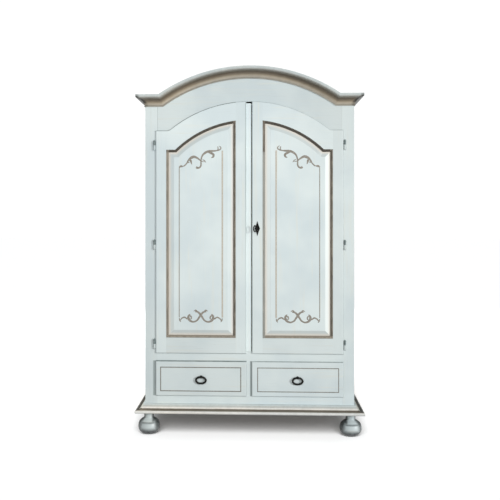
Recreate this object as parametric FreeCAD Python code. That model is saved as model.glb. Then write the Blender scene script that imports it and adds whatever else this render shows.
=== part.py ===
import FreeCAD, Part
import math
import os

# Wardrobe with two arched doors over two drawers, on turned feet.
# Millimetres. X to the right, Y to the back, Z up.
# The origin is on the floor, under the middle of the overall box.

# Carcass
overall_height = 2100.0
body_width = 1190.0
body_depth = 560.0
arch_rise = 158.0
board = 22.0
thin_board = 18.0
back_thickness = 10.0
back_rebate_depth = 12.0
back_rebate_width = 10.0
back_board_count = 8
back_lap = 8.0
back_board_gap = 0.4
base_board_thickness = 33.5
side_cap_drop = 2.0
top_panel_drop = 17.0

# Fits
seat_gap = 0.3
joint_gap = 0.1
running_gap = 0.05
cut_overrun = 5.0

# Face frame
frame_thickness = 22.0
frame_stile_width = 70.0
mid_rail_height = 61.0
bottom_rail_top = 233.0
drawer_opening_height = 182.0
divider_width = 48.0
tenon_length = 28.0
tenon_thickness = 8.0
tenon_shoulder = 12.0
stub_tenon_length = 10.0

# Arch of the cornice, with the frieze, the door and the panel on the same centre
cornice_shoulder_run = 82.0
cornice_height = 66.0
cornice_projection = 50.0
cornice_lip = 4.0
cornice_fascia = 15.0
cornice_bead = 5.0
cornice_cove_share = (0.36, 0.62)
frieze_reveal = 129.0
frieze_notch_rise = 7.5
shoulder_reveal = 136.0

# Base moulding
base_projection = 55.0
base_moulding_height = 48.0
base_step = 10.0
base_step_height = 4.0
base_nose_height = 17.0
base_nose_setback = 8.5
base_nose_tuck = 3.0
base_nose_share = 0.55
base_cove_share = 0.3

# Turned feet
foot_height = 132.0
foot_inset = 17.0
foot_setback = 32.0
foot_rear_setback = 63.5
foot_radius = 62.5
foot_widest_height = 44.0
foot_sole_radius = 23.0
foot_shoulder_radius = 57.0
foot_shoulder_height = 68.0
foot_groove_width = 4.0
foot_groove_depth = 3.5
foot_dome_radius = 32.5
foot_dome_height = 90.0
foot_dome_bulge = 0.5
foot_neck_radius = 28.0
foot_neck_height = 99.0
foot_cap_radius = 32.0
foot_cap_height = 8.0
foot_dowel_radius = 10.0
foot_dowel_length = 20.0

# Doors
lip_overlap = 9.0
lip_proud = 9.0
lip_round = 5.0
leaf_thickness = 25.0
leaf_clearance = 2.5
meeting_half_gap = 16.5
door_stile_width = 60.0
door_bottom_rail_width = 90.0
door_top_rail_width = 105.5
door_shoulder_rail_width = 110.5
door_shoulder_blend = 40.0
panel_tongue = 8.0
panel_tongue_thickness = 8.0
panel_recess = 11.0
panel_bevel_width = 31.0
panel_bevel_rise = 8.0
bead_width = 14.0
bead_proud = 1.0
bead_round = 3.5
bead_crown = 6.0
bead_slope_depth = 8.0
strip_width = 29.0
strip_top_gap = 2.0
strip_bottom_gap = 1.5
strip_tongue = 6.0
strip_tongue_thickness = 5.0
strip_round = 2.0

# Barrel hinges
hinge_offset = 7.5
hinge_radius = 6.0
hinge_barrel_length = 16.0
hinge_finial_length = 15.0
hinge_finial_radius = 7.0
hinge_split_gap = 0.3
hinge_from_top = 85.0
hinge_from_bottom = 53.0
hinge_pin_radius = 2.5
hinge_pin_length = 12.0
hinge_stem_radius = 2.2
hinge_stem_length = 30.0
hinge_stem_tilt = 16.0

# Lock and key
key_from_edge = 30.0
key_height = 1180.0
lock_case_width = 44.0
lock_case_height = 64.0
lock_case_thickness = 11.0
lock_wall = 2.0
bit_clearance = 0.1
bolt_thickness = 5.0
bolt_height = 18.0
bolt_length = 36.0
bolt_throw = 11.0
bolt_clearance = 0.3
key_stem_radius = 2.5
key_bit_length = 5.0
key_bit_drop = 9.0
key_bit_thickness = 2.0
key_collar_radius = 4.0
key_collar_length = 4.0
key_reach = 12.0
key_knuckle_radius = 3.6
key_knuckle_height = 9.0
key_knuckle_slot = 3.4
key_pin_radius = 1.2
bow_fold_angle = 36.0
bow_height = 40.0
bow_width = 23.0
bow_wire_radius = 3.4
bow_flat = 4.0
loop_end_share = 0.66
bow_neck_length = 6.0
bow_tang_clearance = 0.2
bow_hub_clearance = 0.5
keyhole_radius = 3.4
keyhole_slot_width = 3.2
escutcheon_width = 30.0
escutcheon_height = 85.0
escutcheon_thickness = 1.6
escutcheon_waist_share = 0.47

# Drawers
drawer_half_gap = 15.0
drawer_clearance = 1.5
drawer_side_thickness = 13.0
drawer_box_depth = 500.0
drawer_box_drop = 5.0
drawer_back_drop = 22.0
drawer_bottom_thickness = 5.0
drawer_bottom_rise = 10.0
drawer_groove_depth = 6.0
runner_ledge = 20.0
runner_height = 25.0
guide_height = 25.0
kicker_width = 40.0

# Ring pulls
pull_rise = 10.0
pull_standoff = 6.6
pull_wire_radius = 5.4
pull_ring_width = 67.0
pull_ring_height = 46.5
pull_ring_flat = 8.0
pull_eye_radius = 7.3
pull_eye_width = 6.0
pull_shank_radius = 3.0
pull_rose_radius = 8.5
pull_rose_thickness = 1.4
pull_nut_radius = 7.0
pull_nut_thickness = 5.0
nut_sides = 6
pull_thread_proud = 3.0

# Fittings of the hanging compartment
hat_space = 245.0
shelf_setback = 40.0
batten_thickness = 20.0
batten_height = 25.0
rail_batten_height = 74.0
rail_drop = 46.0
rail_radius = 14.0
rail_end_gap = 1.0
rail_cup_depth = 15.0

# Places worked out from the sizes above
half_width = body_width / 2
side_height = overall_height - arch_rise
inner_half = half_width - board
back_y = (body_depth + base_projection) / 2
face_y = back_y - body_depth
frame_back_y = face_y + frame_thickness
inner_back_y = back_y - back_rebate_depth
base_top = foot_height + base_board_thickness
side_top = side_height - side_cap_drop
top_panel_top = side_top - top_panel_drop
top_panel_low = top_panel_top - thin_board
arch_half_span = half_width - cornice_shoulder_run
cornice_arch_radius = (arch_half_span ** 2 + arch_rise ** 2) / (2 * arch_rise)
arch_z = overall_height - cornice_arch_radius
cornice_low_radius = cornice_arch_radius - cornice_height
cornice_low_z = side_height - cornice_height
opening_half = half_width - frame_stile_width
drawer_opening_top = bottom_rail_top + drawer_opening_height
opening_low = drawer_opening_top + mid_rail_height
door_radius = cornice_low_radius - frieze_reveal
door_shoulder = cornice_low_z - shoulder_reveal
door_outer = opening_half + lip_overlap
door_low = opening_low - lip_overlap
opening_radius = door_radius - lip_overlap
opening_shoulder = door_shoulder - lip_overlap
leaf_front = face_y - lip_proud
leaf_back = leaf_front + leaf_thickness
lip_back = face_y - seat_gap
panel_low_y = leaf_front + panel_recess
panel_back_y = panel_low_y + panel_tongue_thickness
floor_low = opening_low - thin_board
shelf_top = top_panel_low - hat_space
shelf_low = shelf_top - thin_board
hinge_x = door_outer + hinge_offset
hinge_y = face_y - hinge_finial_radius - seat_gap
key_x = meeting_half_gap + key_from_edge
drawer_centre = (drawer_half_gap + door_outer) / 2

nodes = {}


def keep(name, *solids):
    nodes[name] = solids


def vec(x, y, z):
    return FreeCAD.Vector(x, y, z)


def bar(x, y, z):
    """Block from three (low, high) pairs."""
    return Part.makeBox(x[1] - x[0], y[1] - y[0], z[1] - z[0], vec(x[0], y[0], z[0]))


def grown_bar(x, y, z, gap):
    return bar((x[0] - gap, x[1] + gap), (y[0] - gap, y[1] + gap), (z[0] - gap, z[1] + gap))


def mirrored(shape):
    return shape.mirror(vec(0, 0, 0), vec(1, 0, 0))


def edges_through(points, place):
    """Closed run of edges. A pair is a straight run to it, a pair of pairs an arc through the first."""
    at = start = place(*points[0])
    edges = []
    for step in points[1:]:
        if isinstance(step[0], tuple):
            via, end = place(*step[0]), place(*step[1])
            edges.append(Part.Arc(at, via, end).toShape())
        else:
            end = place(*step)
            edges.append(Part.LineSegment(at, end).toShape())
        at = end
    if at.distanceToPoint(start) > joint_gap:
        edges.append(Part.LineSegment(at, start).toShape())
    return Part.Wire(edges)


def xz_wire(points, y=0.0):
    return edges_through(points, lambda x, z: vec(x, y, z))


def plate(points, y):
    """Outline in X and Z, from the front Y to the back Y."""
    return Part.Face(xz_wire(points, y[0])).extrude(vec(0, y[1] - y[0], 0))


def rod(start, direction, radius, length):
    return Part.makeCylinder(radius, length, start, direction)


def turned(points, centre):
    """Turning about the upright through centre, from radius and height."""
    wire = edges_through(points, lambda r, z: vec(r, 0, z))
    solid = Part.Face(wire).revolve(vec(0, 0, 0), vec(0, 0, 1), 360)
    solid.translate(centre)
    return solid


def oval_loop(half_length, half_breadth, flat, wire_radius, place):
    """Round wire bent to an oval with short straight runs. place puts (along, across) in space."""
    end_radius = half_breadth * loop_end_share
    step = half_length - end_radius - flat / 2
    side_radius = (step ** 2 + half_breadth ** 2 - end_radius ** 2) / (2 * (half_breadth - end_radius))
    join_turn = math.asin(step / (side_radius - end_radius))

    def side(turn, sign=1):
        return (flat / 2 + side_radius * math.sin(turn),
                sign * (half_breadth - side_radius + side_radius * math.cos(turn)))
    half = [side(0), (side(join_turn / 2), side(join_turn)), ((half_length, 0.0), side(join_turn, -1)),
            (side(join_turn / 2, -1), side(0, -1))]
    other_half = [(-flat / 2, -half_breadth)]
    for arc in half[1:]:
        other_half.append(tuple((-along, -across) for along, across in arc))
    path = edges_through([other_half[-1][-1]] + half + other_half, place)
    start = place(*other_half[-1][-1])
    section = Part.Wire(Part.makeCircle(wire_radius, start, place(*half[0]) - start))
    return path.makePipeShell([section], True, False)


def arc_height(radius, x):
    return arch_z + math.sqrt(radius ** 2 - x ** 2)


def arc_reach(radius, z):
    return math.sqrt(radius ** 2 - (z - arch_z) ** 2)


def arched(x_in, x_out, low, shoulder, radius):
    """Outline of half the front: level shoulder outside, then the arch up to the inner edge."""
    meet = arc_reach(radius, shoulder)
    middle = (meet + x_in) / 2
    return [(x_in, low), (x_out, low), (x_out, shoulder), (meet, shoulder),
            ((middle, arc_height(radius, middle)), (x_in, arc_height(radius, x_in)))]


def edges_along_y(solid, x, z, reach):
    found = []
    for edge in solid.Edges:
        box = edge.BoundBox
        upright_to_face = box.XLength < reach and box.ZLength < reach
        if upright_to_face and abs(box.XMin - x) < reach and abs(box.ZMin - z) < reach:
            found.append(edge)
    return found


def front_edges(solid, y):
    return [edge for edge in solid.Edges if abs(edge.BoundBox.YMin - y) < joint_gap
            and edge.BoundBox.YLength < joint_gap]


# Carcass boards
def side_panel():
    blank = bar((inner_half, half_width), (frame_back_y, back_y), (base_top, side_top))
    rebate = bar((inner_half - cut_overrun, inner_half + back_rebate_width),
                 (inner_back_y, back_y + cut_overrun), (base_top - cut_overrun, top_panel_top))
    return blank.cut(rebate)


def foot_centres():
    x = half_width - foot_inset
    front = face_y + foot_setback
    rear = back_y - foot_rear_setback
    return {"front_left_foot": vec(-x, front, 0), "front_right_foot": vec(x, front, 0),
            "rear_left_foot": vec(-x, rear, 0), "rear_right_foot": vec(x, rear, 0)}


def base_board():
    blank = bar((-half_width, half_width), (face_y, back_y), (foot_height, base_top))
    for centre in foot_centres().values():
        start = centre + vec(0, 0, foot_height - cut_overrun)
        depth = foot_dowel_length + cut_overrun + seat_gap
        hole = rod(start, vec(0, 0, 1), foot_dowel_radius + joint_gap, depth)
        blank = blank.cut(hole)
    return blank


def foot(centre):
    def bulge(widest, end, rise):
        """Point half way up the arc that stands upright at its widest and ends at another radius."""
        across = widest - end
        radius = (across ** 2 + rise ** 2) / (2 * across)
        half_rise = rise / 2
        return widest - radius + math.copysign(math.sqrt(radius ** 2 - half_rise ** 2), radius), half_rise
    low_x, low_z = bulge(foot_radius, foot_sole_radius, foot_widest_height)
    top_rise = foot_shoulder_height - foot_widest_height
    top_x, top_z = bulge(foot_radius, foot_shoulder_radius, top_rise)
    dome_low = foot_shoulder_height + foot_groove_width
    dome_x = (foot_shoulder_radius + foot_dome_radius) / 2 + foot_dome_bulge
    dome_z = (dome_low + foot_dome_height) / 2 + foot_dome_bulge
    neck_x, neck_z = bulge(foot_neck_radius, foot_dome_radius, foot_neck_height - foot_dome_height)
    cap_low = foot_height - foot_cap_height
    points = [(0.0, 0.0), (foot_sole_radius, 0.0),
              ((low_x, foot_widest_height - low_z), (foot_radius, foot_widest_height)),
              ((top_x, foot_widest_height + top_z), (foot_shoulder_radius, foot_shoulder_height)),
              (foot_shoulder_radius - foot_groove_depth, foot_shoulder_height + foot_groove_width / 2),
              (foot_shoulder_radius - foot_groove_depth / 2, dome_low),
              ((dome_x, dome_z), (foot_dome_radius, foot_dome_height)),
              ((neck_x, foot_neck_height - neck_z), (foot_neck_radius, foot_neck_height)),
              (foot_neck_radius, cap_low), (foot_cap_radius, foot_height),
              (foot_dowel_radius, foot_height), (foot_dowel_radius, foot_height + foot_dowel_length),
              (0.0, foot_height + foot_dowel_length)]
    return turned(points, centre)


def back_boards():
    reach = inner_half + back_rebate_width - seat_gap
    pitch = (2 * reach + back_board_gap) / back_board_count
    mid_y = inner_back_y + back_thickness / 2
    rear_y = inner_back_y + back_thickness
    boards = []
    for number in range(back_board_count):
        left = -reach + number * pitch
        right = left + pitch - back_board_gap
        outline = [(left, inner_back_y), (right, inner_back_y), (right, mid_y)]
        if number < back_board_count - 1:
            outline += [(right + back_lap, mid_y + joint_gap), (right + back_lap, rear_y)]
        else:
            outline += [(right, rear_y)]
        if number > 0:
            outline += [(left + back_lap, rear_y), (left + back_lap, mid_y)]
        else:
            outline += [(left, rear_y)]
        outline += [(left, mid_y)]
        wire = edges_through(outline, lambda x, y: vec(x, y, base_top))
        boards.append(Part.Face(wire).extrude(vec(0, 0, top_panel_top - base_top)))
    return boards


for name, sign in (("left", -1), ("right", 1)):
    panel = side_panel()
    keep(name + "_side_panel", panel if sign > 0 else mirrored(panel))
keep("base_board", base_board())
for name, centre in foot_centres().items():
    keep(name, foot(centre))
keep("back_boards", *back_boards())
inner_span = (-inner_half, inner_half)
inner_depth = (frame_back_y, inner_back_y)
keep("top_panel", bar(inner_span, inner_depth, (top_panel_low, top_panel_top)))
keep("compartment_floor", bar(inner_span, inner_depth, (floor_low, opening_low)))
keep("drawer_partition", bar((-thin_board / 2, thin_board / 2), inner_depth, (base_top, floor_low)))


# Face frame
frame_y = (face_y, frame_back_y)
frame_mid_y = (face_y + frame_back_y) / 2
frame_tenon_y = (frame_mid_y - tenon_thickness / 2, frame_mid_y + tenon_thickness / 2)
rail_tenons = {
    "mid_rail": (drawer_opening_top + tenon_shoulder, opening_low - tenon_shoulder),
    "bottom_rail": (base_top + tenon_shoulder, bottom_rail_top - tenon_shoulder),
    "frieze": (opening_shoulder + tenon_shoulder, side_top - tenon_shoulder),
}


def tenon_x(edge, length, sign=1):
    return (edge, edge + length) if sign > 0 else (-edge - length, -edge)


def frame_stile():
    stile = bar((opening_half, half_width), frame_y, (base_top, side_top))
    for z in rail_tenons.values():
        stile = stile.cut(grown_bar(tenon_x(opening_half, tenon_length), frame_tenon_y, z, joint_gap))
    for z in hinge_heights():
        stem = rod(vec(hinge_x, hinge_y, z - hinge_barrel_length / 2), vec(0, 1, 0),
                   hinge_stem_radius + joint_gap, hinge_stem_length)
        stile = stile.cut(stem)
    return stile


def hinge_heights():
    top = door_shoulder - hinge_from_top
    low = door_low + hinge_from_bottom
    return (low, (low + top) / 2, top)


def with_frame_tenons(rail, name):
    for sign in (-1, 1):
        rail = rail.fuse(bar(tenon_x(opening_half, tenon_length, sign), frame_tenon_y, rail_tenons[name]))
    return rail.removeSplitter()


def divider_tenon_z(edge, sign):
    return (edge, edge + stub_tenon_length) if sign > 0 else (edge - stub_tenon_length, edge)


divider_tenon_x = (-divider_width / 2 + tenon_shoulder, divider_width / 2 - tenon_shoulder)
divider_ends = {"mid_rail": (drawer_opening_top, 1), "bottom_rail": (bottom_rail_top, -1)}


def frame_rail(name, z):
    rail = with_frame_tenons(bar((-opening_half, opening_half), frame_y, z), name)
    edge, sign = divider_ends[name]
    return rail.cut(grown_bar(divider_tenon_x, frame_tenon_y, divider_tenon_z(edge, sign), joint_gap))


def strip_notch():
    """Slot in the frieze above the meeting strip, as wide as the space between the doors."""
    crown = arc_height(opening_radius, meeting_half_gap)
    return bar((-meeting_half_gap, meeting_half_gap), (face_y - cut_overrun, frame_back_y + cut_overrun),
               (crown - cut_overrun, crown + frieze_notch_rise))


def frieze():
    crown = cornice_arch_radius - side_cap_drop
    crown_meet = arc_reach(crown, side_top)
    opening_meet = arc_reach(opening_radius, opening_shoulder)
    outline = [(-opening_half, side_top), (-crown_meet, side_top),
               ((0.0, arch_z + crown), (crown_meet, side_top)),
               (opening_half, side_top), (opening_half, opening_shoulder), (opening_meet, opening_shoulder),
               ((0.0, arch_z + opening_radius), (-opening_meet, opening_shoulder)),
               (-opening_half, opening_shoulder)]
    rail = with_frame_tenons(plate(outline, frame_y), "frieze")
    return rail.cut(strip_notch())


def drawer_divider():
    post = bar((-divider_width / 2, divider_width / 2), frame_y, (bottom_rail_top, drawer_opening_top))
    for edge, sign in divider_ends.values():
        post = post.fuse(bar(divider_tenon_x, frame_tenon_y, divider_tenon_z(edge, sign)))
    return post.removeSplitter()


keep("right_frame_stile", frame_stile())
keep("left_frame_stile", mirrored(frame_stile()))
keep("mid_rail", frame_rail("mid_rail", (drawer_opening_top, opening_low)))
keep("bottom_rail", frame_rail("bottom_rail", (base_top, bottom_rail_top)))
keep("drawer_divider", drawer_divider())
keep("frieze", frieze())


# Cornice and base moulding. A profile is a list of (projection, height) from the foot of its back.
def cornice_profile():
    fascia = cornice_height - cornice_fascia
    cove_low = cornice_bead + cornice_lip
    out = cornice_projection - cornice_lip
    rise = fascia - cornice_lip - cove_low
    cove_via = (out * cornice_cove_share[0], cove_low + rise * cornice_cove_share[1])
    return [(0.0, 0.0), (cornice_bead, 0.0), (cornice_bead, cornice_bead), (cornice_lip / 2, cove_low),
            (cove_via, (out, fascia - cornice_lip)), (cornice_projection, fascia),
            (cornice_projection, cornice_height), (0.0, cornice_height)]


def base_profile():
    top = base_moulding_height
    shelf = base_projection - base_nose_setback
    nose_top = base_nose_height
    cove_high = top - base_step_height
    cove_via = (base_step + (shelf - base_step) * base_cove_share,
                nose_top + (cove_high - nose_top) * base_cove_share)
    nose_via = (base_projection, nose_top * base_nose_share)
    return [(0.0, 0.0), (base_projection - base_nose_tuck, 0.0),
            (nose_via, (shelf, nose_top)), (cove_via, (base_step, cove_high)), (base_step, top), (0.0, top)]


def front_run(profile, low, x):
    wire = edges_through(profile, lambda out, up: vec(x[0], face_y - out, low + up))
    return Part.Face(wire).extrude(vec(x[1] - x[0], 0, 0))


def side_run(profile, low, y):
    wire = edges_through(profile, lambda out, up: vec(half_width + out, y[0], low + up))
    return Part.Face(wire).extrude(vec(0, y[1] - y[0], 0))


def corner_wedge(reach, low, high):
    """Prism outside the front right corner, on the side-return half of the mitre."""
    far_x, far_y = half_width + reach, back_y + reach
    wire = Part.makePolygon([vec(half_width, face_y, low), vec(far_x, face_y - reach, low),
                             vec(far_x, far_y, low), vec(half_width, far_y, low),
                             vec(half_width, face_y, low)])
    return Part.Face(wire).extrude(vec(0, 0, high - low))


def shoulder_mitre():
    """The line where the arch meets the level shoulder, carried past both ends."""
    low = (arc_reach(cornice_low_radius, cornice_low_z), cornice_low_z)
    high = (arch_half_span, side_height)
    across, up = high[0] - low[0], high[1] - low[1]
    return (low[0] - across, low[1] - up), (high[0] + across, high[1] + up)


def cornice_arch():
    crown_low = arch_z + cornice_low_radius
    wire = edges_through(cornice_profile(), lambda out, up: vec(0, face_y - out, crown_low + up))
    ring = Part.Face(wire).revolve(vec(0, 0, arch_z), vec(0, 1, 0), 360)
    low, high = shoulder_mitre()
    reach = 2 * cornice_arch_radius
    keep_area = [low, high, (reach, high[1]), (reach, reach + high[1]), (-reach, reach + high[1]),
                 (-reach, high[1]), (-high[0], high[1]), (-low[0], low[1])]
    above = plate(keep_area, (face_y - cornice_projection - cut_overrun, face_y + cut_overrun))
    return ring.common(above)


def cornice_shoulder():
    run_x = (arch_half_span / 2, half_width + cornice_projection)
    run = front_run(cornice_profile(), cornice_low_z, run_x)
    low, high = shoulder_mitre()
    reach = half_width + base_projection
    area = [low, (reach, low[1]), (reach, high[1]), high]
    outside = plate(area, (face_y - cornice_projection - cut_overrun, face_y + cut_overrun))
    corner = corner_wedge(reach, cornice_low_z - cut_overrun, side_height + cut_overrun)
    return run.common(outside).cut(corner)


def side_return(profile, low, height):
    run = side_run(profile, low, (face_y - base_projection, back_y))
    return run.common(corner_wedge(half_width, low - cut_overrun, low + height + cut_overrun))


def front_base_moulding():
    reach = half_width + base_projection
    run = front_run(base_profile(), foot_height, (-reach, reach))
    high = foot_height + base_moulding_height + cut_overrun
    corner = corner_wedge(reach, foot_height - cut_overrun, high)
    return run.cut(corner).cut(mirrored(corner))


keep("cornice_arch", cornice_arch())
keep("right_cornice_shoulder", cornice_shoulder())
keep("left_cornice_shoulder", mirrored(cornice_shoulder()))
cornice_side = side_return(cornice_profile(), cornice_low_z, cornice_height)
keep("right_cornice_return", cornice_side)
keep("left_cornice_return", mirrored(cornice_side))
keep("front_base_moulding", front_base_moulding())
base_side = side_return(base_profile(), foot_height, base_moulding_height)
keep("right_base_moulding", base_side)
keep("left_base_moulding", mirrored(base_side))


# Doors. Everything is drawn for the right door and mirrored for the left.
stile_in = meeting_half_gap + door_stile_width
stile_out = door_outer - door_stile_width
panel_shoulder = door_shoulder - door_shoulder_rail_width


def panel_outline(inset):
    """Outline of the door's panel opening, drawn in by inset."""
    return arched(stile_in + inset, stile_out - inset,
                  door_low + door_bottom_rail_width + inset, panel_shoulder - inset,
                  door_radius - door_top_rail_width - inset)


def door_blank():
    meet = arc_reach(door_radius, door_shoulder)
    outline = arched(meeting_half_gap, door_outer, door_low, door_shoulder, door_radius)
    lip = plate(outline, (leaf_front, lip_back))
    lip = lip.makeFillet(door_shoulder_blend, edges_along_y(lip, meet, door_shoulder, seat_gap))
    body_outline = arched(meeting_half_gap, opening_half - leaf_clearance, opening_low + leaf_clearance,
                          opening_shoulder - leaf_clearance, opening_radius - leaf_clearance)
    body = plate(body_outline, (lip_back, leaf_back))
    lip = lip.makeFillet(lip_round, front_edges(lip, leaf_front))
    return lip.fuse(body).removeSplitter()


def door_frame():
    groove_y = (panel_low_y - joint_gap, panel_back_y + joint_gap)
    groove = plate(panel_outline(-panel_tongue - joint_gap), groove_y)
    opening = plate(panel_outline(0.0), (leaf_front - cut_overrun, leaf_back + cut_overrun))
    return door_blank().cut(opening).cut(groove)


leaf_mid_y = (leaf_front + leaf_back) / 2
door_tenon_y = (leaf_mid_y - tenon_thickness / 2, leaf_mid_y + tenon_thickness / 2)
outer_tenons = {
    "bottom_rail": (opening_low + tenon_shoulder,
                    door_low + door_bottom_rail_width - panel_tongue - tenon_shoulder),
    "top_rail": (panel_shoulder + panel_tongue + tenon_shoulder, opening_shoulder - tenon_shoulder),
}
inner_tenons = {
    "bottom_rail": outer_tenons["bottom_rail"],
    "top_rail": (arc_height(door_radius - door_top_rail_width, stile_in) + panel_tongue + tenon_shoulder,
                 arc_height(opening_radius, stile_in) - tenon_shoulder),
}


def door_members():
    ring = door_frame()
    depth = (leaf_front - cut_overrun, leaf_back + cut_overrun)
    low, high = door_low - cut_overrun, overall_height
    middle = (door_low + door_shoulder) / 2
    members = {
        "hinge_stile": ring.common(bar((stile_out, door_outer + cut_overrun), depth, (low, high))),
        "meeting_stile": ring.common(bar((0.0, stile_in), depth, (low, high))),
        "bottom_rail": ring.common(bar((stile_in, stile_out), depth, (low, middle))),
        "top_rail": ring.common(bar((stile_in, stile_out), depth, (middle, high))),
    }
    outer_x = (stile_out, stile_out + tenon_length)
    inner_x = (stile_in - tenon_length, stile_in)
    for name in ("bottom_rail", "top_rail"):
        tenons = [(outer_x, door_tenon_y, outer_tenons[name]), (inner_x, door_tenon_y, inner_tenons[name])]
        members[name] = members[name].fuse([bar(*tenon) for tenon in tenons]).removeSplitter()
        for stile, tenon in zip(("hinge_stile", "meeting_stile"), tenons):
            members[stile] = members[stile].cut(grown_bar(*tenon, joint_gap))
    return members


def door_panel():
    tongue = plate(panel_outline(-panel_tongue), (panel_low_y, panel_back_y))
    low_wire = xz_wire(panel_outline(bead_width), panel_low_y)
    field_wire = xz_wire(panel_outline(bead_width + panel_bevel_width), panel_low_y - panel_bevel_rise)
    field = Part.makeLoft([low_wire, field_wire], True, True)
    return tongue.fuse(field).removeSplitter()


def door_bead():
    """Round-edged crown beside the frame, sloping down to the panel."""
    front = leaf_front - bead_proud
    slope_y = front + bead_slope_depth
    slope = Part.makeLoft([xz_wire(panel_outline(bead_crown), front),
                           xz_wire(panel_outline(bead_width), slope_y)], True, True)
    well = plate(panel_outline(bead_width), (slope_y, panel_low_y + cut_overrun))
    ring = plate(panel_outline(0.0), (front, panel_low_y)).cut([slope, well])
    return ring.makeFillet(bead_round, front_edges(ring, front))


def stem_direction():
    tilt = math.radians(hinge_stem_tilt)
    return vec(-math.cos(tilt), math.sin(tilt), 0)


def finial(z, sign):
    """Turned end of a hinge knuckle: a swelling drop that ends in a point."""
    barrel = hinge_barrel_length * sign
    tip = barrel + hinge_finial_length * sign
    swell = barrel + hinge_finial_length * sign / 3
    points = [(0.0, z), (hinge_radius, z), (hinge_radius, z + barrel),
              ((hinge_finial_radius, z + swell), (hinge_pin_radius, z + tip - hinge_pin_radius * sign)),
              (0.0, z + tip)]
    return turned(points, vec(hinge_x, hinge_y, 0))


def frame_knuckle(z):
    knuckle = finial(z - hinge_split_gap / 2, -1)
    stem = rod(vec(hinge_x, hinge_y, z - hinge_barrel_length / 2), vec(0, 1, 0), hinge_stem_radius,
               hinge_stem_length - seat_gap)
    pin = rod(vec(hinge_x, hinge_y, z - hinge_barrel_length / 2), vec(0, 0, 1), hinge_pin_radius,
              hinge_barrel_length / 2 + hinge_pin_length)
    return knuckle.fuse([stem, pin]).removeSplitter()


def door_knuckle(z):
    knuckle = finial(z + hinge_split_gap / 2, 1)
    bore = rod(vec(hinge_x, hinge_y, z), vec(0, 0, 1), hinge_pin_radius + running_gap,
               hinge_pin_length + hinge_split_gap)
    stem = rod(vec(hinge_x, hinge_y, z + hinge_barrel_length / 2), stem_direction(), hinge_stem_radius,
               hinge_stem_length)
    return knuckle.fuse(stem).removeSplitter().cut(bore)


def with_stem_holes(stile):
    for z in hinge_heights():
        start = vec(hinge_x, hinge_y, z + hinge_barrel_length / 2)
        hole = rod(start, stem_direction(), hinge_stem_radius + joint_gap, hinge_stem_length + seat_gap)
        stile = stile.cut(hole)
    return stile


members = door_members()
members["hinge_stile"] = with_stem_holes(members["hinge_stile"])
strip_left = -meeting_half_gap
strip_right = strip_left + strip_width
strip_y = (face_y, leaf_back)
strip_mid_y = (strip_y[0] + strip_y[1]) / 2
strip_tongue_y = (strip_mid_y - strip_tongue_thickness / 2, strip_mid_y + strip_tongue_thickness / 2)
strip_z = (opening_low + strip_bottom_gap,
           arc_height(opening_radius, meeting_half_gap) - strip_top_gap)


# Lock, let into the back of the right door's meeting stile
case_x = (meeting_half_gap + lock_wall, meeting_half_gap + lock_wall + lock_case_width)
case_y = (leaf_back - lock_case_thickness, leaf_back)
case_z = (key_height - lock_case_height / 2, key_height + lock_case_height / 2)
bolt_y = (case_y[0] + lock_wall, case_y[0] + lock_wall + bolt_thickness)
bolt_rise = key_bit_drop + bolt_clearance
bolt_low = key_height + bolt_rise
bolt_z = (bolt_low, bolt_low + bolt_height)
bolt_x = (meeting_half_gap + seat_gap, meeting_half_gap + seat_gap + bolt_length)


def lock_case():
    block = bar(case_x, case_y, case_z)
    channel = bar((case_x[0] - cut_overrun, bolt_x[1] + bolt_clearance),
                  (bolt_y[0] - running_gap, bolt_y[1] + running_gap),
                  (bolt_z[0] - running_gap, bolt_z[1] + running_gap))
    chamber_y = case_y[0] + lock_wall
    chamber = rod(vec(key_x, chamber_y, key_height), vec(0, 1, 0), key_bit_drop + bit_clearance,
                  key_bit_length + 2 * bit_clearance)
    bore = rod(vec(key_x, case_y[0] - cut_overrun, key_height), vec(0, 1, 0), key_stem_radius + running_gap,
               lock_case_thickness + cut_overrun - lock_wall / 2)
    slot = bar((key_x - keyhole_slot_width / 2, key_x + keyhole_slot_width / 2),
               (case_y[0] - cut_overrun, chamber_y + lock_wall / 2),
               (key_height - key_bit_drop - bit_clearance, key_height))
    return block.cut([channel, chamber, bore, slot])


def lock_bolt():
    return bar(bolt_x, bolt_y, bolt_z)


def keyhole(y, radius, width):
    hole = rod(vec(key_x, y[0], key_height), vec(0, 1, 0), radius, y[1] - y[0])
    slot_z = (key_height - key_bit_drop - key_stem_radius, key_height)
    slot = bar((key_x - width / 2, key_x + width / 2), y, slot_z)
    return hole.fuse(slot)


def escutcheon_outline():
    half_w, half_h = escutcheon_width / 2, escutcheon_height / 2
    waist_x, waist_z = half_w * escutcheon_waist_share, half_h * escutcheon_waist_share
    outline = [(key_x, key_height + half_h)]
    for x_sign, z_sign in ((1, 1), (1, -1), (-1, -1), (-1, 1)):
        via = (key_x + x_sign * waist_x, key_height + z_sign * waist_z)
        side_end = (key_x + x_sign * half_w, key_height)
        end = side_end if x_sign * z_sign > 0 else (key_x, key_height + z_sign * half_h)
        outline.append((via, end))
    return outline


members_right = dict(members)
pocket = grown_bar(case_x, case_y, case_z, joint_gap)
mouth = bar((meeting_half_gap - cut_overrun, case_x[0] + cut_overrun),
            (bolt_y[0] - bolt_clearance, bolt_y[1] + bolt_clearance),
            (bolt_z[0] - bolt_clearance, bolt_z[1] + bolt_clearance))
stile_keyhole = keyhole((leaf_front - cut_overrun, case_y[0] + cut_overrun),
                        keyhole_radius, keyhole_slot_width)
members_right["meeting_stile"] = members["meeting_stile"].cut([pocket, mouth, stile_keyhole])


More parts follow.
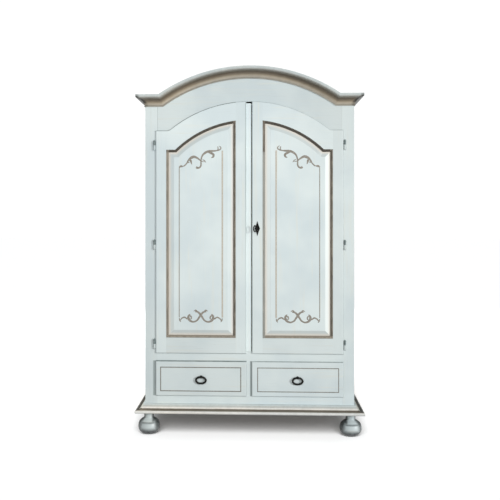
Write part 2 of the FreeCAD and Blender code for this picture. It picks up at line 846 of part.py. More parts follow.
def meeting_strip():
    strip = bar((strip_left, strip_right), strip_y, strip_z)
    right_arris = [edge for edge in front_edges(strip, strip_y[0])
                   if edge.BoundBox.ZLength > strip_width
                   and abs(edge.BoundBox.XMin - strip_right) < joint_gap]
    strip = strip.makeFillet(strip_round, right_arris)
    tongue = bar((strip_left - strip_tongue, strip_left), strip_tongue_y, strip_z)
    mortise = bar((meeting_half_gap - bolt_throw - bolt_clearance - seat_gap, strip_right + cut_overrun),
                  (bolt_y[0] - bolt_clearance, bolt_y[1] + bolt_clearance),
                  (bolt_z[0] - bolt_clearance, bolt_z[1] + bolt_clearance))
    return strip.fuse(tongue).removeSplitter().cut(mortise)


members_left = {name: mirrored(shape) for name, shape in members.items()}
strip_groove = grown_bar((strip_left - strip_tongue, strip_left), strip_tongue_y, strip_z, joint_gap)
members_left["meeting_stile"] = members_left["meeting_stile"].cut(strip_groove)

panel, bead = door_panel(), door_bead()
door_knuckles = [door_knuckle(z) for z in hinge_heights()]
frame_knuckles = [frame_knuckle(z) for z in hinge_heights()]
for name, shape in members_right.items():
    keep("right_door_" + name, shape)
for name, shape in members_left.items():
    keep("left_door_" + name, shape)
keep("right_door_panel", panel)
keep("left_door_panel", mirrored(panel))
keep("right_door_bead", bead)
keep("left_door_bead", mirrored(bead))
keep("right_door_hinges", *door_knuckles)
keep("left_door_hinges", *[mirrored(knuckle) for knuckle in door_knuckles])
keep("frame_hinges", *(frame_knuckles + [mirrored(knuckle) for knuckle in frame_knuckles]))
keep("meeting_strip", meeting_strip())
keep("lock_case", lock_case())
keep("lock_bolt", lock_bolt())
plate_y = (leaf_front - escutcheon_thickness, leaf_front)
plate_keyhole = keyhole((plate_y[0] - cut_overrun, plate_y[1] + cut_overrun),
                        keyhole_radius, keyhole_slot_width)
keep("escutcheon", plate(escutcheon_outline(), plate_y).cut(plate_keyhole))


# Key: stem and bit, with a bow that folds on a knuckle in front of the escutcheon
knuckle_y = plate_y[0] - key_reach


def key_stem():
    inner_end = case_y[0] + lock_wall + bit_clearance + key_bit_length
    stem = rod(vec(key_x, knuckle_y, key_height), vec(0, 1, 0), key_stem_radius, inner_end - knuckle_y)
    bit = bar((key_x - key_bit_thickness / 2, key_x + key_bit_thickness / 2),
              (inner_end - key_bit_length, inner_end), (key_height - key_bit_drop, key_height))
    collar = rod(vec(key_x, plate_y[0] - seat_gap - key_collar_length, key_height), vec(0, 1, 0),
                 key_collar_radius, key_collar_length)
    knuckle = rod(vec(key_x, knuckle_y, key_height - key_knuckle_height / 2), vec(0, 0, 1),
                  key_knuckle_radius, key_knuckle_height)
    slot = bar((key_x - key_knuckle_radius * 2, key_x + key_knuckle_radius * 2),
               (knuckle_y - key_knuckle_radius * 2, knuckle_y + key_knuckle_radius - bow_tang_clearance),
               (key_height - key_knuckle_slot / 2, key_height + key_knuckle_slot / 2))
    pin = rod(vec(key_x, knuckle_y, key_height - key_knuckle_height / 2), vec(0, 0, 1), key_pin_radius,
              key_knuckle_height)
    return stem.fuse([bit, collar, knuckle]).cut(slot).fuse(pin).removeSplitter()


def key_bow():
    """Oval loop and flat tang, drawn straight out along -Y and then folded to the left."""
    tang_half = key_knuckle_slot / 2 - bow_tang_clearance
    tang_radius = key_knuckle_radius - bow_hub_clearance
    hub = rod(vec(0, 0, -tang_half), vec(0, 0, 1), tang_radius, 2 * tang_half)
    tang = bar((-tang_half, tang_half), (-bow_neck_length - bow_wire_radius, 0.0), (-tang_half, tang_half))
    half_h = bow_height / 2 - bow_wire_radius
    half_w = bow_width / 2 - bow_wire_radius
    centre_y = -bow_neck_length - half_w - bow_wire_radius
    loop = oval_loop(half_h, half_w, bow_flat, bow_wire_radius,
                     lambda along, across: vec(0, centre_y + across, along))
    pin_hole = rod(vec(0, 0, -key_knuckle_height), vec(0, 0, 1), key_pin_radius + running_gap,
                   2 * key_knuckle_height)
    bow = loop.fuse([hub, tang]).cut(pin_hole)
    bow.rotate(vec(0, 0, 0), vec(0, 0, 1), -(90 - bow_fold_angle))
    bow.translate(vec(key_x, knuckle_y, key_height))
    return bow


keep("key_stem", key_stem())
keep("key_bow", key_bow())


# Drawers, drawn for the right drawer and mirrored for the left
drawer_low = bottom_rail_top - lip_overlap
drawer_high = drawer_opening_top + lip_overlap
box_x = (divider_width / 2 + drawer_clearance, opening_half - drawer_clearance)
box_y = (leaf_back, leaf_back + drawer_box_depth)
box_z = (bottom_rail_top + seat_gap, drawer_opening_top - drawer_box_drop)
bottom_z = (box_z[0] + drawer_bottom_rise, box_z[0] + drawer_bottom_rise + drawer_bottom_thickness)
pull_z = (drawer_low + drawer_high) / 2 + pull_rise
pull_y = leaf_front - pull_rose_thickness - pull_standoff
bottom_inset = drawer_side_thickness - drawer_groove_depth
bottom_x = (box_x[0] + bottom_inset, box_x[1] - bottom_inset)
bottom_y = (leaf_back - drawer_groove_depth, box_y[1] - drawer_side_thickness / 2)


def drawer_front():
    lip = bar((drawer_half_gap, door_outer), (leaf_front, lip_back), (drawer_low, drawer_high))
    lip = lip.makeFillet(lip_round, front_edges(lip, leaf_front))
    body = bar(box_x, (lip_back, leaf_back),
               (bottom_rail_top + drawer_clearance, drawer_opening_top - drawer_clearance))
    front = lip.fuse(body).removeSplitter()
    front = front.cut(grown_bar(bottom_x, bottom_y, bottom_z, joint_gap))
    return front.cut(rod(vec(drawer_centre, leaf_front - cut_overrun, pull_z), vec(0, 1, 0),
                         pull_shank_radius + joint_gap, leaf_thickness + 2 * cut_overrun))


def drawer_box():
    groove = grown_bar(bottom_x, bottom_y, bottom_z, joint_gap)
    near = bar((box_x[0], box_x[0] + drawer_side_thickness), box_y, box_z).cut(groove)
    far = bar((box_x[1] - drawer_side_thickness, box_x[1]), box_y, box_z).cut(groove)
    back = bar((near.BoundBox.XMax, far.BoundBox.XMin),
               (box_y[1] - 2 * drawer_side_thickness, box_y[1] - drawer_side_thickness),
               (bottom_z[1] + joint_gap, box_z[1] - drawer_back_drop))
    return [near, far, back]


def drawer_bottom():
    return bar(bottom_x, bottom_y, bottom_z)


def pull_nut():
    corners = []
    for corner in range(nut_sides + 1):
        turn = 2 * math.pi * corner / nut_sides
        corners.append(vec(drawer_centre + pull_nut_radius * math.cos(turn), leaf_back,
                           pull_z + pull_nut_radius * math.sin(turn)))
    nut = Part.Face(Part.makePolygon(corners)).extrude(vec(0, pull_nut_thickness, 0))
    return nut.cut(rod(vec(drawer_centre, leaf_back - cut_overrun, pull_z), vec(0, 1, 0),
                       pull_shank_radius + running_gap, leaf_thickness))


def pull_eye():
    centre = vec(drawer_centre, pull_y, pull_z)
    head = rod(centre - vec(pull_eye_width / 2, 0, 0), vec(1, 0, 0), pull_eye_radius, pull_eye_width)
    shank_end = leaf_back + pull_nut_thickness + pull_thread_proud
    shank = rod(vec(drawer_centre, pull_y, pull_z), vec(0, 1, 0), pull_shank_radius, shank_end - pull_y)
    rose = rod(vec(drawer_centre, leaf_front - pull_rose_thickness, pull_z), vec(0, 1, 0), pull_rose_radius,
               pull_rose_thickness)
    hole = rod(centre - vec(pull_eye_width, 0, 0), vec(1, 0, 0), pull_wire_radius + running_gap,
               2 * pull_eye_width)
    eye = head.fuse([shank, rose]).cut(hole)
    return [eye.removeSplitter(), pull_nut()]


def pull_ring():
    """Oval ring whose upper run lies in the eye."""
    half_h = pull_ring_height / 2 - pull_wire_radius
    half_w = pull_ring_width / 2 - pull_wire_radius
    return oval_loop(half_w, half_h, pull_ring_flat, pull_wire_radius,
                     lambda along, across: vec(drawer_centre + along, pull_y, pull_z - half_h + across))


right_drawer = {
    "drawer_front": [drawer_front()],
    "drawer_box": drawer_box(),
    "drawer_bottom": [drawer_bottom()],
    "drawer_eye": pull_eye(),
    "drawer_ring": [pull_ring()],
}
for name, solids in right_drawer.items():
    keep("right_" + name, *solids)
    keep("left_" + name, *[mirrored(solid) for solid in solids])


# Runners with their guides, and the kickers that stop an open drawer from tipping
def drawer_runners():
    runner_z = (bottom_rail_top - runner_height, bottom_rail_top)
    guide_z = (bottom_rail_top, bottom_rail_top + guide_height)
    outer = bar((opening_half - runner_ledge, inner_half), inner_depth, runner_z)
    outer = outer.fuse(bar((opening_half, inner_half), inner_depth, guide_z))
    inner = bar((thin_board / 2, divider_width / 2 + runner_ledge), inner_depth, runner_z)
    inner = inner.fuse(bar((thin_board / 2, divider_width / 2), inner_depth, guide_z))
    kicker = bar((drawer_centre - kicker_width / 2, drawer_centre + kicker_width / 2), inner_depth,
                 (drawer_opening_top, floor_low))
    return [outer.removeSplitter(), inner.removeSplitter(), kicker]


runners = drawer_runners()
keep("drawer_runners", *(runners + [mirrored(solid) for solid in runners]))

# Hat shelf, hanging rail and the battens that carry them and the compartment floor
shelf_y = (frame_back_y + shelf_setback, inner_back_y)
rail_y = (frame_back_y + inner_back_y) / 2
rail_z = shelf_low - rail_drop
keep("hat_shelf", bar(inner_span, shelf_y, (shelf_low, shelf_top)))
rail_half = inner_half - batten_thickness + rail_cup_depth - rail_end_gap
keep("hanging_rail", rod(vec(-rail_half, rail_y, rail_z), vec(1, 0, 0), rail_radius, 2 * rail_half))


def battens():
    batten_x = (inner_half - batten_thickness, inner_half)
    floor_batten = bar(batten_x, inner_depth, (floor_low - batten_height, floor_low))
    shelf_batten = bar(batten_x, shelf_y, (shelf_low - rail_batten_height, shelf_low))
    cup_x = (batten_x[0] - cut_overrun, batten_x[0] + rail_cup_depth)
    cup_radius = rail_radius + joint_gap
    cup = rod(vec(cup_x[0], rail_y, rail_z), vec(1, 0, 0), cup_radius, cup_x[1] - cup_x[0])
    slot = bar(cup_x, (rail_y - cup_radius, rail_y + cup_radius), (rail_z, shelf_low + cut_overrun))
    return [floor_batten, shelf_batten.cut([cup, slot])]


side_battens = battens()
keep("battens", *(side_battens + [mirrored(solid) for solid in side_battens]))

os.makedirs("parts", exist_ok=True)
for name, solids in nodes.items():
    shape = solids[0] if len(solids) == 1 else Part.makeCompound(list(solids))
    shape.exportStep("parts/" + name + ".step")
    count = len(shape.Solids)
    box = shape.BoundBox
    state = "valid" if shape.isValid() else "NOT VALID"
    print(name, count, "solids", round(shape.Volume), "mm3", state,
          "x %.1f %.1f y %.1f %.1f" % (box.XMin, box.XMax, box.YMin, box.YMax),
          "z %.1f %.1f" % (box.ZMin, box.ZMax))
print(len(nodes), "nodes")
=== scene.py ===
import math

import bmesh
import bpy
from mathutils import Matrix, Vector


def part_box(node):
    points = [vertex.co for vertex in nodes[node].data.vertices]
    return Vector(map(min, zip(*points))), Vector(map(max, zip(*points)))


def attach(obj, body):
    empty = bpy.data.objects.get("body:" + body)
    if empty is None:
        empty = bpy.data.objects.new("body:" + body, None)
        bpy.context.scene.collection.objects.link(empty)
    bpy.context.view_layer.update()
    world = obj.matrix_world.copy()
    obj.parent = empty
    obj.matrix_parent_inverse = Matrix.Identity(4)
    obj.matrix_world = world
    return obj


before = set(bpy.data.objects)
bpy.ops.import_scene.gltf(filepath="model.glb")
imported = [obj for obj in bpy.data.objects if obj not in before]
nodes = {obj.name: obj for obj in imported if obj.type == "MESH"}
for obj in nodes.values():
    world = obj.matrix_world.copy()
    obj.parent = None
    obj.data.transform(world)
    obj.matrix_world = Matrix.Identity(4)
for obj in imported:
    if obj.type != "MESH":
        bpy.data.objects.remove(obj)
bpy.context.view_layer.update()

mm = 0.001
print("frame loaded,", len(nodes), "nodes")


# A wire wraps a shader socket. Sums on wires add the Math nodes.
class Wire:
    def __init__(self, shading, socket):
        self.shading = shading
        self.socket = socket

    def maths(self, operation, *terms):
        return self.shading.add("ShaderNodeMath", {"operation": operation}, dict(enumerate(terms)))

    def __add__(self, other): return self.maths("ADD", self, other)
    def __radd__(self, other): return self.maths("ADD", other, self)
    def __sub__(self, other): return self.maths("SUBTRACT", self, other)
    def __rsub__(self, other): return self.maths("SUBTRACT", other, self)
    def __mul__(self, other): return self.maths("MULTIPLY", self, other)
    def __rmul__(self, other): return self.maths("MULTIPLY", other, self)
    def __truediv__(self, other): return self.maths("DIVIDE", self, other)
    def __rtruediv__(self, other): return self.maths("DIVIDE", other, self)
    def __pow__(self, other): return self.maths("POWER", self, other)
    def __rpow__(self, other): return self.maths("POWER", other, self)
    def __abs__(self): return self.maths("ABSOLUTE", self)
    def root(self): return self.maths("SQRT", self)
    def sine(self): return self.maths("SINE", self)
    def floor(self): return self.maths("FLOOR", self)
    def most(self, other): return self.maths("MAXIMUM", self, other)

    def ramp(self, low, high, start=0.0, end=1.0):     # smooth step from start to end
        sockets = {"Value": self, "From Min": low, "From Max": high, "To Min": start, "To Max": end}
        return self.shading.add("ShaderNodeMapRange", {"interpolation_type": "SMOOTHSTEP"}, sockets)

    def band(self, low, high, soft):                   # 1 between low and high
        return self.ramp(low - soft, low + soft) * self.ramp(high - soft, high + soft, 1.0, 0.0)


class Shading:                                         # the nodes of a finish or of the sky
    def __init__(self, owner):
        owner.use_nodes = True
        self.tree = owner.node_tree

    def add(self, kind, settings=None, sockets=None, output=0):
        node = self.tree.nodes.new(kind)
        for key, setting in (settings or {}).items():
            if key == "stops":
                self.setStops(node.color_ramp.elements, setting)
            else:
                setattr(node, key, setting)
        for key, given in (sockets or {}).items():
            self.feed(node.inputs[key], given)
        return Wire(self, node.outputs[output])

    def setStops(self, elements, stops):               # colours by position, 0 to 1
        for position, tint in stops[2:]:
            elements.new(position)
        for element, (position, tint) in zip(elements, stops):
            element.position = position
            element.color = tint

    def feed(self, socket, given):
        if isinstance(given, Wire):
            self.tree.links.new(given.socket, socket)
        else:
            socket.default_value = given


class Finish(Shading):
    def __init__(self, name):
        self.material = bpy.data.materials.new(name)
        super().__init__(self.material)
        self.shader = self.tree.nodes["Principled BSDF"]
        self.place = self.add("ShaderNodeTexCoord", output="Object")

    def along(self, axis, coords=None):                # one coordinate, in metres
        return self.add("ShaderNodeSeparateXYZ", {}, {0: coords or self.place}, "XYZ".index(axis))

    def facing(self, axis):                            # how far the surface faces along an axis, -1 to 1
        return self.along(axis, self.add("ShaderNodeTexCoord", output="Normal"))

    def onRight(self):                                 # 1 on the right half of the cabinet
        return self.along("X").ramp(-1 * mm, 1 * mm)

    def point(self, x, y, z):
        return self.add("ShaderNodeCombineXYZ", {}, {"X": x, "Y": y, "Z": z})

    def vector(self, operation, first, second):
        return self.add("ShaderNodeVectorMath", {"operation": operation}, {0: first, 1: second})

    def toned(self, colour, tone):                     # colour times a number
        return self.vector("MULTIPLY", colour, self.point(tone, tone, tone))

    def scaled(self, coords, scale, shift=(0, 0, 0)):
        return self.add("ShaderNodeMapping", {}, {"Vector": coords, "Scale": scale, "Location": shift})

    def noise(self, coords, scale, detail=4.0, roughness=0.55):
        return self.add("ShaderNodeTexNoise", {}, {"Vector": coords, "Scale": scale, "Detail": detail,
                                                   "Roughness": roughness})

    def ramped(self, value, stops):
        return self.add("ShaderNodeValToRGB", {"stops": stops}, {0: value})

    def mix(self, mask, low, high):                    # low where mask is 0, high where it is 1
        return self.add("ShaderNodeMix", {"data_type": "RGBA"}, {0: mask, 6: low, 7: high}, 2)

    def dress(self, colour, roughness, relief, depth, **constants):
        bump = self.add("ShaderNodeBump", {}, {"Height": relief, "Distance": depth, "Strength": 1.0})
        for name, given in (("Base Color", colour), ("Roughness", roughness), ("Normal", bump)):
            self.feed(self.shader.inputs[name], given)
        for name, value in constants.items():
            self.shader.inputs[name.replace("_", " ")].default_value = value
        return self.material


def screen(red, green, blue):                          # a colour as the eye picks it, 0 to 255
    def linear(level):
        return level / 12.92 if level <= 0.04045 else ((level + 0.055) / 1.055) ** 2.4
    return (*[linear(level / 255) for level in (red, green, blue)], 1.0)


dressed = []


def layOn(material, *nodeNames):                       # gives these nodes of the frame their finish
    for nodeName in nodeNames:
        materials = nodes[nodeName].data.materials
        materials.clear()
        materials.append(material)
        dressed.append(nodeName)


def addObject(name, data, at=(0, 0, 0), turn=(0, 0, 0)):
    made = bpy.data.objects.new(name, data)
    made.location = at
    made.rotation_euler = turn
    bpy.context.scene.collection.objects.link(made)
    return made


# Sizes of the cabinet, read from the frame
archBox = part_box("cornice_arch")
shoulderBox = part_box("right_cornice_shoulder")
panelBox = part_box("right_door_panel")
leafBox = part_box("right_door_hinge_stile")
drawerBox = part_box("right_drawer_front")
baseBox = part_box("front_base_moulding")
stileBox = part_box("right_frame_stile")
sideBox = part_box("right_side_panel")
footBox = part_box("front_right_foot")
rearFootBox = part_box("rear_right_foot")
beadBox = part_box("right_door_bead")
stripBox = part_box("meeting_strip")
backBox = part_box("back_boards")
fieldY = panelBox[0].y
leafY, leafBackY = leafBox[0].y, leafBox[1].y
leafLow, leafTop = leafBox[0].z, leafBox[1].z
frameBackY = stileBox[1].y


# Paint and wood. A ramp in a dictionary is (from, to), or (from, to, start, end) if it isn't from 0 to 1.

paint = {
    "pale": screen(221, 231, 230),
    "cool": screen(207, 219, 221),
    "thin": screen(222, 224, 214),       # where the brush left little paint
    "umber": screen(90, 83, 72),
    "brown": screen(122, 114, 101),
    "archShadow": screen(52, 46, 38),
    "tan": screen(176, 167, 152),
    "cloudScale": 2.6,
    "clouds": (0.35, 0.68),
    "strokeScale": 52.0,                 # strokes of the brush, per metre across the grain
    "strokeStretch": 0.05,
    "strokes": (0.52, 0.78, 0.0, 0.55),
    "hairScale": 520.0,
    "hairStretch": 0.012,
    "hairs": (0.60, 0.85, 0.0, 0.22),
    "roughness": (0.3, 0.8, 0.38, 0.56),
    "depth": 0.12 * mm,
}
pine = {
    "early": screen(226, 196, 150),
    "late": screen(188, 142, 92),
    "knot": screen(120, 78, 46),
    "ringScale": 11.0,
    "ringCount": 26.0,
    "ringSharpness": 2.2,
    "stretch": 0.07,
    "poreScale": 900.0,
    "poreStretch": 0.02,
    "pores": (0.55, 0.8, 0.0, 0.35),
    "boardTone": 0.5,
    "roughness": (0.0, 1.0, 0.58, 0.46),
    "depth": 0.10 * mm,
}


def stretched(axis, share):
    return tuple(share if name == axis else 1.0 for name in "XYZ")


def brushed(finish, axis, shift):                      # colour, roughness and relief of the brushed paint
    spot = (shift, 1.7 * shift, 2.3 * shift)
    broad = finish.noise(finish.place, paint["cloudScale"], 3.0)
    stroke = finish.noise(finish.scaled(finish.place, stretched(axis, paint["strokeStretch"]), spot),
                          paint["strokeScale"], 5.0, 0.6)
    hair = finish.noise(finish.scaled(finish.place, stretched(axis, paint["hairStretch"]), spot),
                        paint["hairScale"], 2.0)
    colour = finish.mix(broad.ramp(*paint["clouds"]), paint["pale"], paint["cool"])
    colour = finish.mix(stroke.ramp(*paint["strokes"]), colour, paint["thin"])
    colour = finish.mix(hair.ramp(*paint["hairs"]), colour, paint["brown"])
    return colour, stroke.ramp(*paint["roughness"]), stroke * 0.6 + hair * 0.4


def grained(finish, axis, coords=None, tone=None):     # the same of bare pine
    coords = coords or finish.place
    slow = finish.noise(finish.scaled(coords, stretched(axis, pine["stretch"])), pine["ringScale"], 1.5, 0.4)
    rings = (slow * pine["ringCount"] * math.tau).sine() * 0.5 + 0.5
    pores = finish.noise(finish.scaled(coords, stretched(axis, pine["poreStretch"])), pine["poreScale"], 1.0)
    colour = finish.mix(rings ** pine["ringSharpness"], pine["early"], pine["late"])
    colour = finish.mix(pores.ramp(*pine["pores"]), colour, pine["knot"])
    if tone is not None:
        colour = finish.mix(tone * pine["boardTone"], colour, pine["late"])
    return colour, rings.ramp(*pine["roughness"]), rings * 0.5 + pores * 0.5


def blended(finish, mask, low, high):                  # low where mask is 0, high where it is 1
    return (finish.mix(mask, low[0], high[0]), *[low[i] + (high[i] - low[i]) * mask for i in (1, 2)])


# Painted shade darkens the paint at the upper right, the lower left and the left stile, and painted light
# brightens it at the lower right.
# Each patch has a ramp across the cabinet and a ramp up it, in metres.
lightAndShadePatches = {
    "upperRight": ((0.1, 0.45), (1.35, 1.75, 0.0, 0.06)),
    "leftStile": ((-0.56, -0.52, 1.0, 0.0), (0.7, 0.9, 0.045, 0.0)),
    "drawers": ((-0.02, 0.06), (0.23, 0.27, 0.06, 0.0)),
    "rightStile": ((0.5, 0.6), (0.2, 0.5, 0.05, 0.0)),
    "lowLeft": (-0.35, -0.05, 0.045, 0.0),
    "lowLeftBand": (0.42, 0.72, 0.1),
}


def paintedLightAndShade(finish, colour, tone):
    across, height = finish.along("X"), finish.along("Z")

    def patch(name):
        along, up = lightAndShadePatches[name]
        return across.ramp(*along) * height.ramp(*up)

    lowLeft = across.ramp(*lightAndShadePatches["lowLeft"]) * height.band(*lightAndShadePatches["lowLeftBand"])
    paintedShade = patch("upperRight") + lowLeft.most(patch("leftStile"))
    return finish.toned(colour, (1.0 - paintedShade + patch("drawers") + patch("rightStile")) * tone)


# Dark wax and painted shade lie in the rounded edges of the doors and drawer fronts, on their tops and along
# their lower edges. On the frame a dark hairline marks the stiles' joints over the doors, and painted shadows
# lie round the drawers.

waxAndShade = {
    "colour": screen(104, 118, 116),
    "lipDepth": (0.9 * mm, 3.6 * mm),                  # behind the face of a door or drawer front
    "lipShare": 0.82,
    "lowEdge": (1 * mm, 5 * mm, 0.4, 0.0),
    "facingUp": (0.12, 0.4),
    "wornScale": 30.0,
    "worn": (0.25, 0.75, 0.75, 1.0),
}
stripLine = {                                          # painted shade: a faint line in the corner at the left edge of the meeting strip
    "near": (-3 * mm, 2 * mm, 0.0, 0.5),
    "far": (4.5 * mm, 8 * mm, 1.0, 0.0),
    "up": (0.9, 1.5, 0.45, 1.0),
    "depth": (1 * mm, 6 * mm, 1.0, 0.0),
}
frameLines = {
    "joint": (0.2 * mm, 1.6 * mm, 0.55, 0.0),          # hairline where a stile meets the frieze
    "jointBelow": 8 * mm,
    "jointFade": (-0.1, 0.1, 1.0, 0.3),
    "rightGap": 5 * mm,                                # painted shadow left of each drawer, by distance from it
    "rightLine": (3 * mm, 7 * mm, 0.62, 0.0),
    "leftGap": 9 * mm,
    "leftLine": (5 * mm, 10 * mm, 0.58, 0.0),
    "over": (-5 * mm, 2 * mm, 1.5 * mm),               # and over the left drawer
    "overShare": 0.6,
    "soft": 2 * mm,
}


# Dark wax and painted shade on a leaf's rounded edges, its lower edge and its upward faces
def lipWaxAndShade(lowEdge, top, lip=waxAndShade["lipShare"]):
    def darkened(finish):
        depth = finish.along("Y") - leafY
        low = finish.along("Z") - lowEdge
        mask = depth.ramp(*waxAndShade["lipDepth"], 0.0, lip).most(low.ramp(*waxAndShade["lowEdge"]))
        mask = mask.most(finish.facing("Z").ramp(*waxAndShade["facingUp"], 0.0, top))
        return mask * finish.noise(finish.place, waxAndShade["wornScale"], 4.0, 0.6).ramp(*waxAndShade["worn"])
    return darkened


# Painted shade: a faint line in the corner at the strip's left edge
def stripShade(finish):
    across = finish.along("X") - stripBox[0].x
    line = across.ramp(*stripLine["near"]) * across.ramp(*stripLine["far"])
    front = (finish.along("Y") - leafY).ramp(*stripLine["depth"])
    return line * front * finish.along("Z").ramp(*stripLine["up"])


def stileShade(finish):
    return lipWaxAndShade(leafLow, 0.4, 0.0)(finish).most(stripShade(finish))


# Dark hairline at the stiles' joints, and painted shadows beside and over the drawers
def frameJointsAndShadows(finish):
    across, height = finish.along("X"), finish.along("Z")
    joint = abs(abs(across) - stileBox[0].x).ramp(*frameLines["joint"])
    joint = joint * height.ramp(leafTop - frameLines["jointBelow"], leafTop)
    joint = joint * across.ramp(*frameLines["jointFade"])
    nearRight = abs(across - drawerBox[0].x + frameLines["rightGap"]).ramp(*frameLines["rightLine"])
    nearLeft = abs(across + drawerBox[1].x + frameLines["leftGap"]).ramp(*frameLines["leftLine"])
    besideShadow = nearRight.most(nearLeft) * height.band(drawerBox[0].z, drawerBox[1].z, frameLines["soft"])
    over = (height - drawerBox[1].z).band(*frameLines["over"]) * frameLines["overShare"]
    over = over * across.band(-drawerBox[1].x, -drawerBox[0].x, frameLines["soft"])
    return joint.most(besideShadow).most(over)


# Frame, doors and drawer fronts: painted in front, bare pine behind.
# Brush direction, shift of its strokes, tone (lighter or darker as painted light and shade), wax and painted
# shade, and nodes of each member.

frameMembers = {
    "leftFrame": ("Z", 0.0, 0.935, frameJointsAndShadows, ["left_frame_stile"]),
    "uprightFrame": ("Z", 0.3, 0.95, frameJointsAndShadows, ["right_frame_stile", "drawer_divider"]),
    "levelFrame": ("X", 0.7, 0.89, frameJointsAndShadows, ["frieze"]),
    "middleRail": ("X", 0.5, 0.97, frameJointsAndShadows, ["mid_rail"]),
    "lowRail": ("X", 0.2, 1.0, frameJointsAndShadows, ["bottom_rail"]),
}
leafMembers = {
    "leftHingeStile": ("Z", 1.6, 1.0, lipWaxAndShade(leafLow, 1.0), ["left_door_hinge_stile"]),
    "rightHingeStile": ("Z", 1.8, 0.93, lipWaxAndShade(leafLow, 0.4), ["right_door_hinge_stile"]),
    "meetingStile": ("Z", 1.1, 0.97, stileShade, ["left_door_meeting_stile", "right_door_meeting_stile"]),
    "leftTopLeaf": ("X", 4.4, 1.0, lipWaxAndShade(leafLow, 1.0), ["left_door_top_rail"]),
    "rightTopLeaf": ("X", 4.4, 1.0, lipWaxAndShade(leafLow, 0.4), ["right_door_top_rail"]),
    "lowLeaf": ("X", 1.9, 0.93, lipWaxAndShade(leafLow, 0.0), ["left_door_bottom_rail", "right_door_bottom_rail"]),
    "leftDrawerLeaf": ("X", 2.7, 0.92, lipWaxAndShade(drawerBox[0].z, 1.0), ["left_drawer_front"]),
    "rightDrawerLeaf": ("X", 2.9, 0.96, lipWaxAndShade(drawerBox[0].z, 0.75), ["right_drawer_front"]),
    "strip": ("Z", 3.3, 1.06, stripShade, ["meeting_strip"]),
}
bareBack = (-0.4 * mm, -0.1 * mm, 1.0, 0.0)            # where the paint ends, from the back of the member


def paintMembers(members, backY):
    for name, (axis, shift, tone, darkened, nodeNames) in members.items():
        finish = Finish(name)
        colour, roughness, relief = brushed(finish, axis, shift)
        colour = finish.mix(darkened(finish), paintedLightAndShade(finish, colour, tone), waxAndShade["colour"])
        outside = (finish.along("Y") - backY).ramp(*bareBack)
        coat = blended(finish, outside, grained(finish, axis), (colour, roughness, relief))
        layOn(finish.dress(*coat, paint["depth"]), *nodeNames)


paintMembers(frameMembers, frameBackY)
paintMembers(leafMembers, leafBackY)
print("frame, doors and drawer fronts painted")


# Cornice and base: painted bands follow the moulding's height above its lower edge, in millimetres.
# Wax and painted shade are dark at the mitres and thinner along the returns.

cornice = {
    # The stops also carry painted shade, greying the fascia and darkening the lower edge
    "stops": [(0, (180, 180, 173)), (2.5, (154, 151, 141)), (5.5, (150, 145, 132)), (10.5, (168, 161, 147)),
              (16, (179, 169, 151)), (21, (165, 153, 133)), (26.5, (134, 122, 103)), (32, (111, 99, 82)),
              (38, (94, 83, 67)), (42.5, (122, 115, 102)), (46, (164, 161, 152)), (51, (176, 178, 172)),
              (54, (190, 195, 192)), (59, (196, 203, 200)), (66, (203, 210, 208))],
    "meet": 513 * mm,                                  # where the arch meets the level shoulder
    "shift": 0.4,
    "darkShare": 0.92,
    "darkReach": 26 * mm,
    "darkFull": 8 * mm,
    "darkLow": (16 * mm, 24 * mm, 0.5, 1.0),
    "darkHigh": (50 * mm, 62 * mm, 1.0, 0.45),
}
base = {
    # The stops also carry painted light and shade: a brightened line over the stripe, a darkened lower nose,
    # and a darker stripe on the returns
    "stops": [(0, (180, 182, 176)), (4, (222, 222, 216)), (8, (236, 236, 230)), (15, (230, 228, 220)),
              (17, (118, 108, 92)), (22.5, (106, 96, 82)), (24, (246, 240, 228)), (29, (244, 241, 232)),
              (33, (204, 205, 198)), (38, (198, 202, 196)), (41, (208, 216, 213)), (48, (206, 215, 213))],
    "returnStops": [(0, (214, 216, 210)), (15.5, (226, 226, 218)), (17, (64, 60, 52)), (18.8, (58, 56, 48)),
                    (20.5, (206, 206, 190)), (32, (226, 226, 216)), (41, (224, 232, 228)),
                    (48, (202, 213, 213))],
    "shift": 0.9,
    "darkShare": 0.9,
    "darkReach": 9 * mm,
    "darkFull": 3 * mm,
    "darkBand": (17 * mm, 24 * mm, 1 * mm),
}
bands = {
    "waxAndShade": screen(34, 33, 28),
    "darkBack": (-0.15, 0.15, 1.0, 0.35),
    "wanderScale": 22.0,
    "wander": 0.025,
    "mottleScale": 38.0,
    "mottle": (0.2, 0.8, 0.90, 1.06),
}
cornicePitch = shoulderBox[1].z - shoulderBox[0].z
basePitch = baseBox[1].z - baseBox[0].z
mitreMeet = stileBox[1].x + stileBox[0].y
archRise = archBox[1].z - shoulderBox[1].z
archRadius = (cornice["meet"] ** 2 + archRise ** 2) / (2 * archRise)
archCentre = archBox[1].z - archRadius
lowRadius = archRadius - cornicePitch


# Wax and painted shade near the mitres
def mitreWaxAndShade(finish, share, moulding):
    across = abs(finish.along("X")) + finish.along("Y") - mitreMeet
    near = across.ramp(-moulding["darkReach"], -moulding["darkFull"], 0.0, share)
    return near * finish.along("Y").ramp(*bands["darkBack"])


def corniceWaxAndShade(finish, up):
    mask = mitreWaxAndShade(finish, cornice["darkShare"], cornice)
    return mask * up.ramp(*cornice["darkLow"]) * up.ramp(*cornice["darkHigh"])


def baseWaxAndShade(finish, up):
    return mitreWaxAndShade(finish, base["darkShare"], base) * up.band(*base["darkBand"])


def noWaxOrShade(finish, up):
    return 0.0


